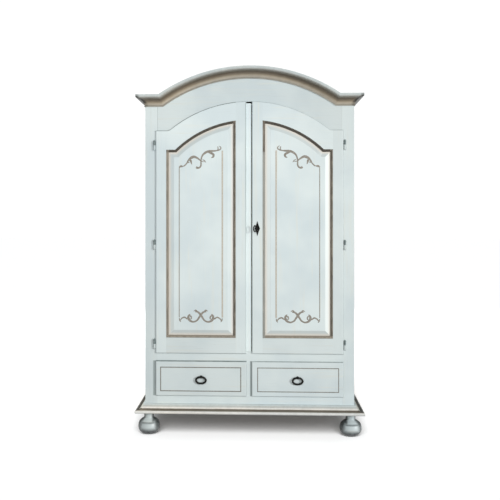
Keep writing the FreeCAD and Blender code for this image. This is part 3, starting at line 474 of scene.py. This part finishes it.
def bandedFinish(name, axis, stops, pitch, height, shift, darkened):
    finish = Finish(name)
    up = height(finish)
    wander = finish.noise(finish.vector("ADD", finish.place, (shift, 0, 0)), bands["wanderScale"], 3.0) - 0.5
    tints = [(level * mm / pitch, screen(*tint)) for level, tint in stops]
    colour, roughness, relief = brushed(finish, axis, shift)
    veil = finish.vector("DIVIDE", colour, paint["pale"][:3])
    mottle = finish.noise(finish.place, bands["mottleScale"], 4.0, 0.65).ramp(*bands["mottle"])
    colour = finish.vector("MULTIPLY", finish.ramped(up / pitch + wander * bands["wander"], tints), veil)
    colour = finish.mix(darkened(finish, up), finish.toned(colour, mottle), bands["waxAndShade"])
    return finish.dress(colour, roughness, relief, paint["depth"])


def archHeight(finish):
    up = finish.along("Z") - archCentre
    return (finish.along("X") ** 2.0 + up * up).root() - lowRadius


def levelHeight(finish):
    return finish.along("Z") - shoulderBox[0].z


def baseHeight(finish):
    return finish.along("Z") - baseBox[0].z


def corniceFinish(name, axis, height):
    return bandedFinish(name, axis, cornice["stops"], cornicePitch, height, cornice["shift"], corniceWaxAndShade)


def baseFinish(name, axis, stops, darkened):
    return bandedFinish(name, axis, stops, basePitch, baseHeight, base["shift"], darkened)


layOn(corniceFinish("archBands", "X", archHeight), "cornice_arch")
layOn(corniceFinish("levelBands", "X", levelHeight), "left_cornice_shoulder", "right_cornice_shoulder")
layOn(corniceFinish("returnBands", "Y", levelHeight), "left_cornice_return", "right_cornice_return")
layOn(baseFinish("baseFront", "X", base["stops"], baseWaxAndShade), "front_base_moulding")
layOn(baseFinish("baseReturn", "Y", base["returnStops"], noWaxOrShade), "left_base_moulding", "right_base_moulding")
print("cornice and base painted in bands")


# Feet: glaze lies in the turned grooves; painted shade darkens the neck under the base, the ball's underside,
# the sides of the turning, the side that faces the other foot, and the left foot's lower ball

foot = {
    "glazeAndShade": screen(16, 22, 22),
    "groove": 70 * mm,                                 # height of the groove over the ball
    "grooveGlaze": (1 * mm, 9 * mm, 0.6, 0.0),
    "neck": 99 * mm,
    "neckTop": 22 * mm,                                # below the top of the foot
    "neckShade": 0.6,
    "underside": (17 * mm, 52 * mm, 1.0, 0.0),
    "turned": (0.45, 0.9, 0.1, 0.97),
    "inner": (-30 * mm, -14 * mm, 0.92, 0.0),
    "innerUp": (62 * mm, 84 * mm),
    "ballBelow": 6 * mm,
    "leftBall": (0.0, 1.0, 0.86, 1.0),                 # painted shade: the left foot's ball is the darkest
    "mottleScale": 60.0,
    "mottle": (0.2, 0.7, 1.0, 0.85),
    "shift": 1.3,
    "coat": 0.1,
    "coatRoughness": 0.2,
}


def footFinish(name):
    finish = Finish(name)
    height = finish.along("Z")
    middleX = (footBox[0].x + footBox[1].x) / 2
    frontY, rearY = (footBox[0].y + footBox[1].y) / 2, (rearFootBox[0].y + rearFootBox[1].y) / 2
    across = abs(finish.along("X")) - middleX
    deep = abs(finish.along("Y") - (frontY + rearY) / 2) - (rearY - frontY) / 2
    turn = abs(across) / (across ** 2.0 + deep * deep).root().most(1 * mm)
    glazeAndShade = abs(height - foot["groove"]).ramp(*foot["grooveGlaze"])
    glazeAndShade = glazeAndShade.most(height.ramp(foot["neck"], footBox[1].z - foot["neckTop"], 0.0, foot["neckShade"]))
    glazeAndShade = glazeAndShade.most(height.ramp(*foot["underside"])).most(turn.ramp(*foot["turned"]))
    glazeAndShade = glazeAndShade.most(across.ramp(*foot["inner"]) * height.ramp(*foot["innerUp"]))
    glazeAndShade = glazeAndShade * finish.noise(finish.place, foot["mottleScale"]).ramp(*foot["mottle"])
    ball = height.ramp(foot["groove"] - foot["ballBelow"], foot["groove"]) + finish.onRight()
    colour, roughness, relief = brushed(finish, "X", foot["shift"])
    colour = finish.mix(glazeAndShade, finish.toned(colour, ball.ramp(*foot["leftBall"])), foot["glazeAndShade"])
    return finish.dress(colour, roughness, relief, paint["depth"], Coat_Weight=foot["coat"],
                        Coat_Roughness=foot["coatRoughness"])


layOn(footFinish("turnedFoot"), "front_left_foot", "front_right_foot", "rear_left_foot", "rear_right_foot")


# Door panel: cream beside the bead, fading up the bevel; painted highlights on the right panel's upright
# bevels, painted shade on the level bevels and the left panel's upright ones

panel = {
    "cream": screen(236, 226, 212),
    "creamDepth": (3.0 * mm, 8.0 * mm, 0.0, 0.7),      # behind the field, as are the next two
    "bevelDepth": (0.2 * mm, 1.0 * mm),
    "bareDepth": (12 * mm, 13 * mm),
    "paintedHighlight": screen(244, 250, 247),
    "paintedShade": screen(178, 185, 183),
    "rightHighlight": 0.45,                               # of the right panel's upright bevels
    "outerHighlight": (0.2, 0.35, 0.0, 0.2),              # more on its outer one
    "levelShade": 0.5,                                  # of the bevels under the arch and at the bottom
    "leftShade": (1.5, 1.7, 0.1, 0.25),                 # of the left panel's, more of it high up
    "shift": 2.1,
}


def panelFinish(name):
    finish = Finish(name)
    depth = finish.along("Y") - fieldY
    colour, roughness, relief = brushed(finish, "Z", panel["shift"])
    colour = paintedLightAndShade(finish, colour, 1.0)
    bevel = depth.ramp(*panel["bevelDepth"])
    upright = (abs(finish.facing("X")) - abs(finish.facing("Z"))).ramp(-0.02, 0.02)
    right = finish.onRight()
    paintedHighlight = upright * (right * panel["rightHighlight"] + finish.along("X").ramp(*panel["outerHighlight"]))
    leftShade = (1.0 - right) * finish.along("Z").ramp(*panel["leftShade"])
    paintedShade = panel["levelShade"] - upright * (panel["levelShade"] - leftShade)
    colour = finish.mix(bevel * paintedHighlight, colour, panel["paintedHighlight"])
    colour = finish.mix(bevel * paintedShade, colour, panel["paintedShade"])
    colour = finish.mix(depth.ramp(*panel["creamDepth"]), colour, panel["cream"])
    coat = blended(finish, depth.ramp(*panel["bareDepth"]), (colour, roughness, relief), grained(finish, "Z"))
    return finish.dress(*coat, paint["depth"])


layOn(panelFinish("fieldedPanel"), "left_door_panel", "right_door_panel")


# Bead round the panel: painted shade under the arch, painted light along its left and lower runs

bead = {
    "shoulder": 1630 * mm,                             # height of the level part under the arch
    "mottleScale": 70.0,
    "mottleStretch": 0.25,
    "mottle": (0.3, 0.75),
    "crown": (-1.2 * mm, 1.5 * mm, 1.0, 0.0),          # behind the leaf's face, as is the valley
    "crownRub": (0.35, 0.8, 0.0, 0.6),
    "valley": (6 * mm, 9 * mm, 0.0, 0.6),
    "arch": (-20 * mm, -10 * mm),                      # from the shoulder up
    "shadowInset": 15 * mm,
    "shadowShare": 0.75,
    "leftEdge": (2 * mm, 4.5 * mm, 0.7, 0.12),         # from the bead's left edge, as are the next two
    "leftInside": (8 * mm, 11 * mm, 0.0, 0.5),
    "leftRun": (13 * mm, 15 * mm, 1.0, 0.0),
    "highlightLeast": 0.12,
    "highlightRight": 0.43,
    "highlightTint": screen(163, 167, 161),
    "lowRun": (13 * mm, 15 * mm, 0.45, 0.0),
    "roughness": (0.2, 0.8, 0.36, 0.52),
    "depth": 0.15 * mm,
}


def beadFinish(name):
    finish = Finish(name)
    across, height, right = finish.along("X"), finish.along("Z"), finish.onRight()
    depth = finish.along("Y") - leafY
    fromLeft = across + beadBox[1].x - right * (beadBox[0].x + beadBox[1].x)
    mottle = finish.noise(finish.scaled(finish.place, stretched("Z", bead["mottleStretch"])),
                          bead["mottleScale"], 5.0, 0.6)
    colour = finish.mix(mottle.ramp(*bead["mottle"]), paint["umber"], paint["brown"])
    colour = finish.mix(depth.ramp(*bead["crown"]) * mottle.ramp(*bead["crownRub"]), colour, paint["tan"])
    arch = (height - bead["shoulder"]).ramp(*bead["arch"])
    shadowBand = abs(across).band(beadBox[0].x + bead["shadowInset"], beadBox[1].x - bead["shadowInset"], 1 * mm)
    colour = finish.mix(arch * shadowBand * bead["shadowShare"], colour, paint["archShadow"])
    leftRun = fromLeft.ramp(*bead["leftRun"])
    rubAndHighlight = fromLeft.ramp(*bead["leftEdge"]).most(fromLeft.ramp(*bead["leftInside"]))
    rubAndHighlight = rubAndHighlight.most(bead["highlightLeast"] + right * bead["highlightRight"]) * leftRun * (1.0 - arch)
    rubAndHighlight = rubAndHighlight.most((height - beadBox[0].z).ramp(*bead["lowRun"]))
    colour = finish.mix(rubAndHighlight, colour, finish.mix(right * leftRun, paint["tan"], bead["highlightTint"]))
    colour = finish.mix(depth.ramp(*bead["valley"]), colour, paint["umber"])
    return finish.dress(colour, mottle.ramp(*bead["roughness"]), mottle, bead["depth"])


layOn(beadFinish("brownBead"), "left_door_bead", "right_door_bead")
print("feet, panels and beads painted")


# Sides, painted outside, and the bare pine of the back and the inside

sides = {"paint": (-0.3 * mm, -0.1 * mm), "shift": 3.0}
backBoards = {"count": 8, "grainStep": (0.31, 1.73, 0.57), "toneStep": 2.4}
baseBoard = {"underShade": screen(70, 68, 64), "under": (1 * mm, 2 * mm, 0.92, 0.0)}


def sidePanelFinish(name):
    finish = Finish(name)
    outer = (abs(finish.along("X")) - sideBox[1].x).ramp(*sides["paint"])
    coat = blended(finish, outer, grained(finish, "Z"), brushed(finish, "Z", sides["shift"]))
    return finish.dress(*coat, paint["depth"])


def backFinish(name):                                  # each board has its own tone and grain
    finish = Finish(name)
    pitch = (backBox[1].x - backBox[0].x) / backBoards["count"]
    board = ((finish.along("X") - backBox[0].x) / pitch).floor()
    grainSpot = finish.point(*[board * step for step in backBoards["grainStep"]])
    tone = (board * backBoards["toneStep"]).sine() * 0.5 + 0.5
    coat = grained(finish, "Z", finish.vector("ADD", finish.place, grainSpot), tone)
    return finish.dress(*coat, pine["depth"])


def pineFinish(name, axis, shift):
    finish = Finish(name)
    coords = finish.vector("ADD", finish.place, (shift, 1.3 * shift, 0.7 * shift))
    return finish.dress(*grained(finish, axis, coords), pine["depth"])


def baseBoardFinish(name):                             # its underside is painted dark, as painted shade under the cabinet
    finish = Finish(name)
    colour, roughness, relief = grained(finish, "X")
    under = (finish.along("Z") - footBox[1].z).ramp(*baseBoard["under"])
    return finish.dress(finish.mix(under, colour, baseBoard["underShade"]), roughness, relief, pine["depth"])


layOn(sidePanelFinish("sidePanel"), "left_side_panel", "right_side_panel")
layOn(backFinish("backBoards"), "back_boards")
layOn(baseBoardFinish("baseBoard"), "base_board")
layOn(pineFinish("pineAcross", "X", 0.0), "top_panel", "compartment_floor", "hat_shelf", "hanging_rail")
layOn(pineFinish("pineDeep", "Y", 0.6), "drawer_partition", "left_drawer_box", "right_drawer_box",
      "left_drawer_bottom", "right_drawer_bottom", "drawer_runners", "battens")
print("sides and inside finished")


# Metals: blackened pulls and key, aged door knuckles, painted frame knuckles toned down as painted shade,
# bright lock

iron = {
    "dark": screen(24, 25, 23),
    "worn": screen(66, 62, 55),
    "pitScale": 260.0,
    "rubScale": 45.0,
    "rubAndHighlight": (0.5, 0.75, 0.0, 0.7),
    "roughness": (0.2, 0.8, 0.46, 0.66),
    "depth": 0.15 * mm,
}
hinge = {
    "dark": screen(96, 110, 109),
    "light": screen(132, 144, 143),
    "pitScale": 210.0,
    "pits": (0.35, 0.7),
    "roughness": (0.2, 0.8, 0.40, 0.60),
    "depth": 0.12 * mm,
    "chipScale": 170.0,
    "chips": (0.60, 0.66, 0.0, 0.4),
    # the frame knuckles' paint is darkened as painted shade
    "shadeTone": 0.8,
    "paintDry": 0.15,
    "shift": 5.0,
}
steel = {
    "light": screen(168, 168, 164),
    "dark": screen(112, 112, 110),
    "lineScale": 900.0,
    "lineStretch": 0.05,
    "lines": (0.35, 0.65),
    "roughness": (0.3, 0.7, 0.28, 0.45),
    "depth": 0.04 * mm,
}


def ironFinish(name, shade):
    finish = Finish(name)
    pits = finish.noise(finish.place, iron["pitScale"], 6.0, 0.65)
    rubAndHighlight = finish.noise(finish.place, iron["rubScale"], 3.0)
    colour = finish.mix(rubAndHighlight.ramp(*iron["rubAndHighlight"]), iron["dark"], iron["worn"])
    colour = finish.toned(colour, shade)
    return finish.dress(colour, pits.ramp(*iron["roughness"]), pits, iron["depth"], Metallic=0.6)


def hingeFinish(name):
    finish = Finish(name)
    pits = finish.noise(finish.place, hinge["pitScale"], 6.0, 0.65)
    colour = finish.mix(pits.ramp(*hinge["pits"]), hinge["dark"], hinge["light"])
    return finish.dress(colour, pits.ramp(*hinge["roughness"]), pits, hinge["depth"], Metallic=0.2)


def paintedHingeFinish(name):
    finish = Finish(name)
    chips = finish.noise(finish.place, hinge["chipScale"], 5.0, 0.7)
    colour, roughness, relief = brushed(finish, "Z", hinge["shift"])
    colour = finish.mix(chips.ramp(*hinge["chips"]), finish.toned(colour, hinge["shadeTone"]), iron["worn"])
    return finish.dress(colour, roughness + hinge["paintDry"], relief, paint["depth"])


def steelFinish(name):
    finish = Finish(name)
    drawn = finish.scaled(finish.place, stretched("Z", steel["lineStretch"]))
    lines = finish.noise(drawn, steel["lineScale"], 3.0)
    colour = finish.mix(lines.ramp(*steel["lines"]), steel["light"], steel["dark"])
    return finish.dress(colour, lines.ramp(*steel["roughness"]), lines, steel["depth"], Metallic=1.0)


layOn(ironFinish("blackenedIron", 1.0), "left_drawer_eye", "right_drawer_eye", "left_drawer_ring",
      "right_drawer_ring")
layOn(ironFinish("blackIron", 0.3), "escutcheon", "key_stem", "key_bow")
layOn(hingeFinish("agedHinge"), "left_door_hinges", "right_door_hinges")
layOn(paintedHingeFinish("paintedHinge"), "frame_hinges")
layOn(steelFinish("lockSteel"), "lock_case", "lock_bolt")
print("metals finished,", len(dressed), "of", len(nodes), "nodes dressed")


# Painted decoration: thin ribbons of paint that lie on the panels and drawer fronts

ribbon = {
    "rise": 0.45 * mm,
    "edgeShare": 0.3,                                  # of the rise, at the ribbon's edges
    "sink": 0.25 * mm,
    "steps": 6,
    "scrollWeight": 1.45,
    "slot": "brown_bead",
}
decor = {
    "scroll": (screen(122, 116, 106), screen(158, 152, 142)),
    "pale": (screen(176, 168, 154), screen(200, 194, 182)),
    "line": (screen(106, 107, 101), screen(144, 142, 134)),
    "mottleScale": 120.0,
    "mottle": (0.3, 0.72),
    "roughness": (0.2, 0.8, 0.4, 0.55),
    "depth": 0.05 * mm,
}


def decorFinish(name, tints):
    finish = Finish(name)
    mottle = finish.noise(finish.place, decor["mottleScale"], 4.0, 0.65)
    colour = finish.mix(mottle.ramp(*decor["mottle"]), *tints)
    return finish.dress(colour, mottle.ramp(*decor["roughness"]), mottle, decor["depth"])


scrollPaint = decorFinish("decorPaint", decor["scroll"])
palePaint = decorFinish("paleDecorPaint", decor["pale"])
linePaint = decorFinish("lineDecorPaint", decor["line"])


def curveThrough(points, steps):                       # Catmull-Rom curve through the points
    if len(points) < 3:
        return points
    ends = [2 * points[0] - points[1], *points, 2 * points[-1] - points[-2]]
    run = []
    for i in range(1, len(ends) - 2):
        before, start, end, after = ends[i - 1:i + 3]
        for step in range(steps):
            t = step / steps
            run.append(0.5 * (2 * start + (end - before) * t
                              + (2 * before - 5 * start + 4 * end - after) * t ** 2
                              + (3 * start - before - 3 * end + after) * t ** 3))
    return run + [points[-1]]


def addRibbon(mesh, points, widths, surfaceY):         # points and widths in millimetres
    line = curveThrough([Vector((x * mm, z * mm)) for x, z in points], ribbon["steps"])
    edge = -ribbon["edgeShare"] * ribbon["rise"]
    rings = []
    for i, here in enumerate(line):
        ahead = (line[min(i + 1, len(line) - 1)] - line[max(i - 1, 0)]).normalized()
        side = Vector((-ahead.y, ahead.x))
        share = i / (len(line) - 1) * (len(widths) - 1)
        low = min(int(share), len(widths) - 2)
        half = (widths[low] + (widths[low + 1] - widths[low]) * (share - low)) * mm / 2
        left, right = here + side * half, here - side * half
        corners = [(left, ribbon["sink"]), (left, edge), (here, -ribbon["rise"]), (right, edge),
                   (right, ribbon["sink"])]
        rings.append([mesh.verts.new((spot.x, surfaceY + out, spot.y)) for spot, out in corners])
    for one, two in zip(rings, rings[1:]):
        for i in range(len(one)):
            j = (i + 1) % len(one)
            mesh.faces.new((one[i], one[j], two[j], two[i]))
    mesh.faces.new(rings[0][::-1])
    mesh.faces.new(rings[-1])


def layPaint(name, mesh, material, body):
    bmesh.ops.recalc_face_normals(mesh, faces=mesh.faces)
    data = bpy.data.meshes.new(name)
    mesh.to_mesh(data)
    mesh.free()
    data.materials.append(material)
    made = addObject(name, data)
    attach(made, body)


# Strokes of the right door as points and widths, in millimetres from the cabinet's middle and the floor.
# The lower scroll is drawn for its right half, from the middle of the panel.
topScroll = [
    ([(399, 1524), (397, 1531), (388, 1535), (378, 1534)], (2, 6, 9, 3)),
    ([(384, 1537), (372, 1537), (357, 1551), (348, 1567), (335, 1581), (316, 1589), (300, 1584), (284, 1573),
      (271, 1563), (252, 1560)], (2, 5, 5, 7, 11, 9, 6, 4, 1.5)),
    ([(342, 1573), (334, 1567), (331, 1556), (327, 1545)], (5, 9, 6, 2)),
    ([(352, 1561), (345, 1556), (341, 1560)], (3, 4, 2)),
    ([(303, 1530), (293, 1525), (282, 1529), (275, 1541), (275, 1560), (273, 1579), (265, 1599), (249, 1613),
      (229, 1621), (203, 1622), (185, 1624), (169, 1629), (161, 1637), (165, 1646), (173, 1650)],
     (9, 7, 6, 5, 6, 9, 8, 5, 5, 4, 2)),
    ([(240, 1617), (219, 1611), (204, 1601), (205, 1589), (216, 1584)], (3, 9, 9, 7, 3)),
    ([(180, 1626), (177, 1637), (180, 1648)], (2, 5, 2)),
    ([(266, 1573), (254, 1566), (247, 1556)], (3, 4, 1.5)),
]
bottomScroll = [
    ([(123, 668), (120, 655), (114, 646)], (3, 5, 2)),
    ([(119, 652), (108, 667), (92, 673), (78, 664), (70, 668)], (3, 5, 6, 5, 3)),
    ([(60, 691), (68, 683), (71, 670), (63, 655), (43, 647), (22, 655), (8, 674), (-4, 692), (-18, 704),
      (-32, 705)], (3, 8, 10, 8, 6, 7, 9, 7, 4)),
    ([(66, 684), (56, 678), (54, 666), (62, 661)], (3, 6, 5, 2)),
    ([(-18, 704), (-29, 713), (-40, 708)], (4, 6, 2)),
]
doorLines = {
    "low": 672,
    "inner": {"x": 153, "top": 1624, "width": 8.5, "paint": palePaint},
    "outer": {"x": 399.5, "top": 1524, "width": 4.5, "paint": scrollPaint},
}
drawerLines = {"inner": 48, "outer": 506, "low": 252.6, "high": 387.4, "left": 5.6, "right": 4.8}


def drawScroll(mesh, scroll, place):                   # place turns a stroke's point into one on the door
    for points, widths in scroll:
        addRibbon(mesh, [place(x, z) for x, z in points],
                  [width * ribbon["scrollWeight"] for width in widths], fieldY)


def doorDecor(side, sign):
    body = side + "_door"
    middle = (doorLines["inner"]["x"] + doorLines["outer"]["x"]) / 2

    mesh = bmesh.new()
    drawScroll(mesh, topScroll, lambda x, z: (sign * x, z))
    layPaint(side + "_door_top_scroll", mesh, scrollPaint, body)

    mesh = bmesh.new()
    for mirror in (1, -1):
        drawScroll(mesh, bottomScroll, lambda x, z: (sign * (middle + mirror * x), z))
    layPaint(side + "_door_bottom_scroll", mesh, scrollPaint, body)

    for edge in ("inner", "outer"):
        line = doorLines[edge]
        mesh = bmesh.new()
        addRibbon(mesh, [(sign * line["x"], doorLines["low"]), (sign * line["x"], line["top"])],
                  [line["width"]] * 2, fieldY)
        layPaint(side + "_door_" + edge + "_line", mesh, line["paint"], body)


def drawerDecor(side, sign):
    inner, outer, low, high, width = [drawerLines[key] for key in ("inner", "outer", "low", "high", side)]
    half = width / 2
    runs = [[(inner - half, z), (outer + half, z)] for z in (low, high)]
    runs += [[(x, low + half), (x, high - half)] for x in (inner, outer)]
    mesh = bmesh.new()
    for run in runs:
        addRibbon(mesh, [(sign * x, z) for x, z in run], [width] * 2, leafY)
    layPaint(side + "_drawer_line", mesh, linePaint, side + "_drawer")


for side, sign in (("left", -1), ("right", 1)):
    doorDecor(side, sign)
    drawerDecor(side, sign)
print("painted decoration laid on")


# Room: floor, light and camera

room = {
    "floor": (screen(250, 250, 250), screen(246, 247, 247)),
    "floorSize": 60.0,
    "floorGrain": 3.0,
    "floorRoughness": 0.9,
    "floorDepth": 0.1 * mm,
    "skySeen": 1.05,
    "skyLight": 0.27,
    "glow": (0.62, 0.90, 0.0, 0.5),                    # the floor glows at either side of the cabinet
    "glowDeep": (-0.5, 5.0, 0.5),
    "glowLeast": 0.035,
}
softboxes = {                                          # place, aim, size, power, and whether gloss mirrors it
    "keyLight": ((24.0, -20.0, 5.8), (0, 0, 1.0), (3.6, 3.6), 5350, True),
    "frontLight": ((-0.2, -3.5, 2.1), (0, 0, 1.2), (1.8, 1.3), 53, False),
    "backLight": ((-3.4, 4.6, 5.2), (0, 0, 1.3), (3.2, 3.2), 520, False),
}
sun = {"elevation": 35.5, "softness": 44, "power": 4.25}
camera = {"at": (0.0535, -4.454, 1.28), "turn": (90, 0, 2.4), "lens": 53.06, "shift": (0.0446, -0.0781)}


def floorFinish():
    finish = Finish("paleFloor")
    grain = finish.noise(finish.place, room["floorGrain"], 2.0)
    glow = abs(finish.along("X")).ramp(*room["glow"]) * finish.along("Y").band(*room["glowDeep"])
    glow = glow + room["glowLeast"]
    finish.feed(finish.shader.inputs["Emission Color"], finish.point(glow, glow, glow))
    return finish.dress(finish.mix(grain, *room["floor"]), room["floorRoughness"], grain, room["floorDepth"],
                        Specular_IOR_Level=0.1, Emission_Strength=1.0)


def makeFloor():
    half = room["floorSize"] / 2
    data = bpy.data.meshes.new("floor")
    corners = [(x * half, y * half, 0) for x, y in ((-1, -1), (1, -1), (1, 1), (-1, 1))]
    data.from_pydata(corners, [], [(0, 1, 2, 3)])
    data.materials.append(floorFinish())
    floor = addObject("floor", data)
    floor.visible_diffuse = False                      # its bounce would light the cabinet from below
    return floor


def makeSky():                                         # brighter to the camera than to the cabinet
    world = bpy.data.worlds.new("studio")
    sky = Shading(world)
    lit, seen = [sky.add("ShaderNodeBackground", {}, {"Color": (1, 1, 1, 1), "Strength": room[name]})
                 for name in ("skyLight", "skySeen")]
    fromCamera = sky.add("ShaderNodeLightPath", output="Is Camera Ray")
    both = sky.add("ShaderNodeMixShader", {}, {0: fromCamera, 1: lit, 2: seen})
    sky.feed(sky.tree.nodes["World Output"].inputs["Surface"], both)
    bpy.context.scene.world = world


def linkLight(lamp, floor, state):                     # lights the floor alone, or everything else
    receivers = bpy.data.collections.new(lamp.name + "Receivers")
    receivers.objects.link(floor)
    lamp.light_linking.receiver_collection = receivers
    receivers.collection_objects[0].light_linking.link_state = state


def makeSoftbox(name, floor, at, aim, size, power, mirrored):
    data = bpy.data.lights.new(name, "AREA")
    data.shape = "RECTANGLE"
    data.size, data.size_y = size
    data.energy = power
    turn = (Vector(aim) - Vector(at)).to_track_quat("-Z", "Y").to_euler()
    lamp = addObject(name, data, at, turn)
    lamp.visible_camera = lamp.visible_glossy = mirrored
    linkLight(lamp, floor, "EXCLUDE")


def makeSun(floor):                                    # keeps the floor white up to the cabinet's shadow
    data = bpy.data.lights.new("floorLight", "SUN")
    data.energy = sun["power"]
    data.angle = math.radians(sun["softness"])
    lamp = addObject("floorLight", data, turn=(math.radians(90 - sun["elevation"]), 0, 0))
    linkLight(lamp, floor, "INCLUDE")


def makeCamera():
    data = bpy.data.cameras.new("camera")
    data.lens = camera["lens"]
    data.shift_x, data.shift_y = camera["shift"]
    turn = [math.radians(angle) for angle in camera["turn"]]
    bpy.context.scene.camera = addObject("camera", data, camera["at"], turn)


floor = makeFloor()
makeSky()
for name, box in softboxes.items():
    makeSoftbox(name, floor, *box)
makeSun(floor)
makeCamera()
bpy.context.scene.view_settings.view_transform = "Standard"
print("room lit and camera set")
